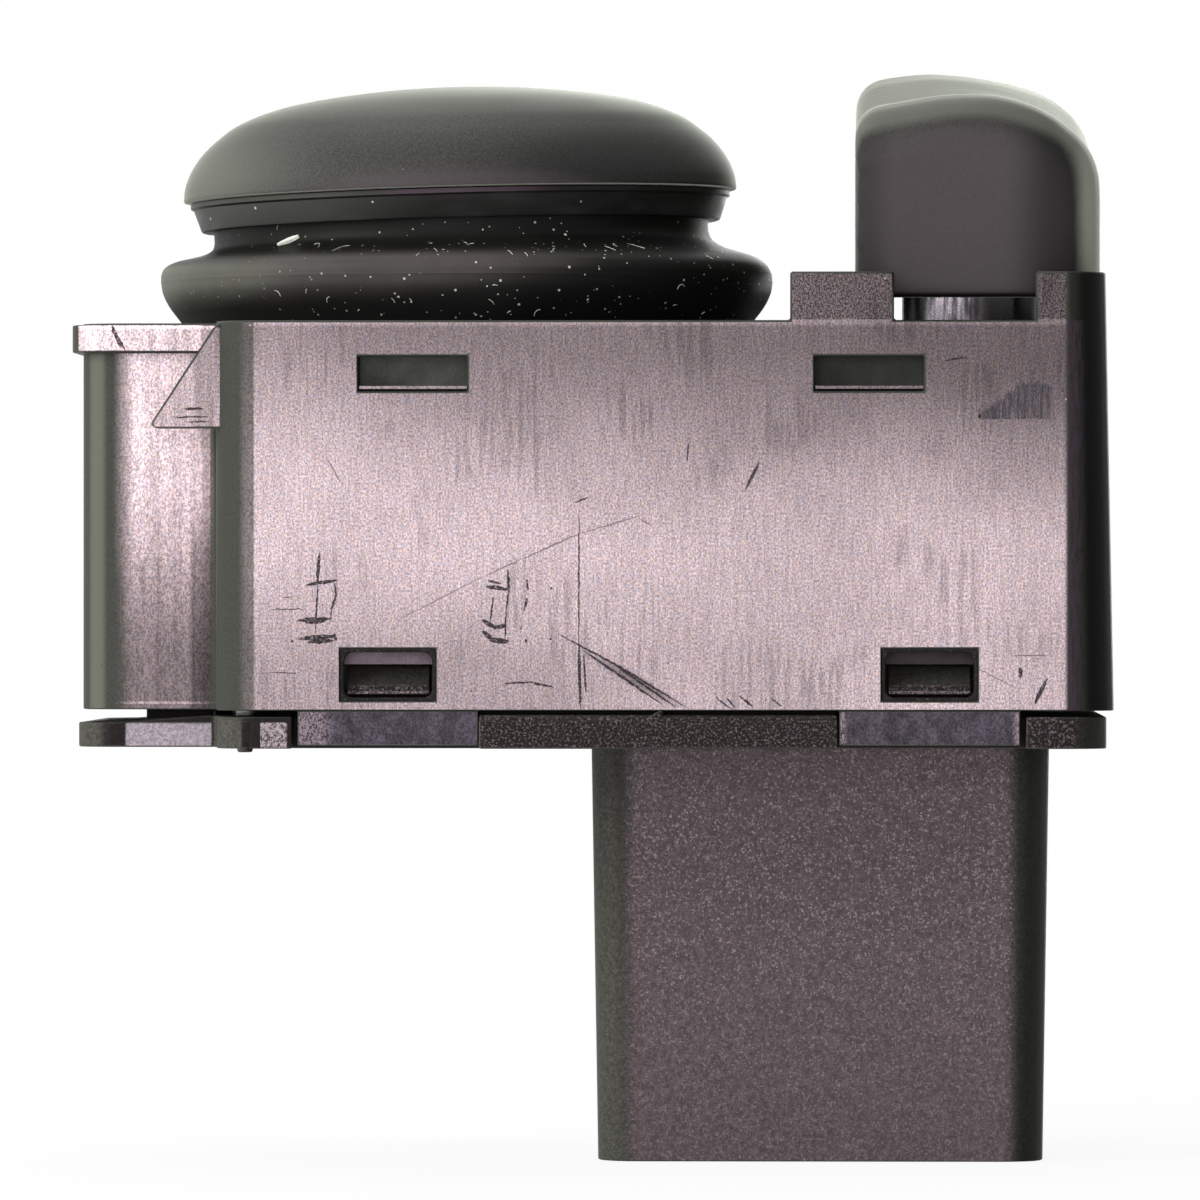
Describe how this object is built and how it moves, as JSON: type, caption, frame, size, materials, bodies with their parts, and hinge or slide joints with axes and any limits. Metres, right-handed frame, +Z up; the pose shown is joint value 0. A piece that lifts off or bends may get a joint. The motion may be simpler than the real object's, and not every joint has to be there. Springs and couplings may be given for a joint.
{
  "type": "door mirror switch",
  "caption": "Door mirror switch: a tilting adjuster dome under a rubber boot and a see-saw side selector, in a deep case with a connector socket below.",
  "frame": {"origin": "on the adjuster's axis, in the plane of the case's deck, where the panel cut-out holds the switch", "axes": "+X along the case from the adjuster to the selector, +Y from the front wall to the back wall, +Z up out of the panel"},
  "size_m": [0.0512, 0.034, 0.0549],
  "materials": {
    "case_plastic": "satin moulded slate grey, scuffed",
    "base_plastic": "spark-eroded dark taupe",
    "soft_touch": "soft-touch charcoal, dusty",
    "gloss_black": "smooth black",
    "boot_rubber": "smooth black rubber with lint",
    "inner_plastic": "natural moulded plastic",
    "silicone": "pale silicone",
    "board": "green board",
    "lamp_resin": "clear yellow resin",
    "copper": "copper strip",
    "pin_steel": "ground steel",
    "terminal_brass": "tinned brass"
  },
  "bodies": {
    "root": {"housing": "case_plastic", "base": "base_plastic", "terminal_carrier": "base_plastic", "boot": "boot_rubber", "gimbal_pin_left": "pin_steel", "gimbal_pin_right": "pin_steel", "plunger_guide": "inner_plastic", "contact_mat": "silicone", "circuit_board": "board", "lamp": "lamp_resin", "selector_pin": "pin_steel", "detent_track": "inner_plastic", "terminal_1": "terminal_brass", "terminal_2": "terminal_brass", "terminal_3": "terminal_brass", "terminal_4": "terminal_brass", "terminal_5": "terminal_brass", "terminal_6": "terminal_brass", "terminal_7": "terminal_brass", "terminal_8": "terminal_brass", "terminal_9": "terminal_brass", "terminal_10": "terminal_brass"},
    "gimbal": {"gimbal_ring": "inner_plastic", "gimbal_pin_front": "pin_steel", "gimbal_pin_back": "pin_steel"},
    "knob": {"adjuster_cap": "soft_touch", "adjuster_ring": "gloss_black", "adjuster_stem": "inner_plastic", "swash_plate": "inner_plastic"},
    "right_plunger": {"plunger_right": "inner_plastic"},
    "left_plunger": {"plunger_left": "inner_plastic"},
    "front_plunger": {"plunger_front": "inner_plastic"},
    "back_plunger": {"plunger_back": "inner_plastic"},
    "selector": {"selector_knob": "soft_touch", "selector_drum": "gloss_black", "detent_plunger": "inner_plastic", "detent_spring": "pin_steel"},
    "slider": {"contact_slider": "inner_plastic", "contact_bridge": "copper"}
  },
  "joints": [
    {"name": "tilt_up_down", "type": "hinge", "parent": "root", "child": "gimbal", "pos_m": [0, 0, -0.006], "axis": [1, 0, 0], "range_deg": [-5, 5], "stiffness_Nm_per_rad": 0.2, "deforming": ["boot"]},
    {"name": "tilt_left_right", "type": "hinge", "parent": "gimbal", "child": "knob", "pos_m": [0, 0, -0.006], "axis": [0, 1, 0], "range_deg": [-3.5, 6.5], "stiffness_Nm_per_rad": 0.2, "deforming": ["boot"]},
    {"name": "press_right", "type": "slide", "parent": "root", "child": "right_plunger", "axis": [0, 0, 1], "range_m": [-0.00076, 0.00041]},
    {"name": "press_left", "type": "slide", "parent": "root", "child": "left_plunger", "axis": [0, 0, 1], "range_m": [-0.00041, 0.00076]},
    {"name": "press_front", "type": "slide", "parent": "root", "child": "front_plunger", "axis": [0, 0, 1], "range_m": [-0.00058, 0.00058]},
    {"name": "press_back", "type": "slide", "parent": "root", "child": "back_plunger", "axis": [0, 0, 1], "range_m": [-0.00058, 0.00058]},
    {"name": "selector_rock", "type": "hinge", "parent": "root", "child": "selector", "pos_m": [0.02505, 0, -0.0035], "axis": [-1, 0, 0], "range_deg": [0, 10.8]},
    {"name": "slider_shift", "type": "slide", "parent": "root", "child": "slider", "axis": [0, -1, 0], "range_m": [0, 0.00191]}
  ],
  "couplings": [
    {"joint": "press_right", "follows": "tilt_left_right", "m_per_rad": -0.0066},
    {"joint": "press_left", "follows": "tilt_left_right", "m_per_rad": 0.0066},
    {"joint": "press_front", "follows": "tilt_up_down", "m_per_rad": -0.0066},
    {"joint": "press_back", "follows": "tilt_up_down", "m_per_rad": 0.0066},
    {"joint": "slider_shift", "follows": "selector_rock", "m_per_rad": 0.0101}
  ]
}
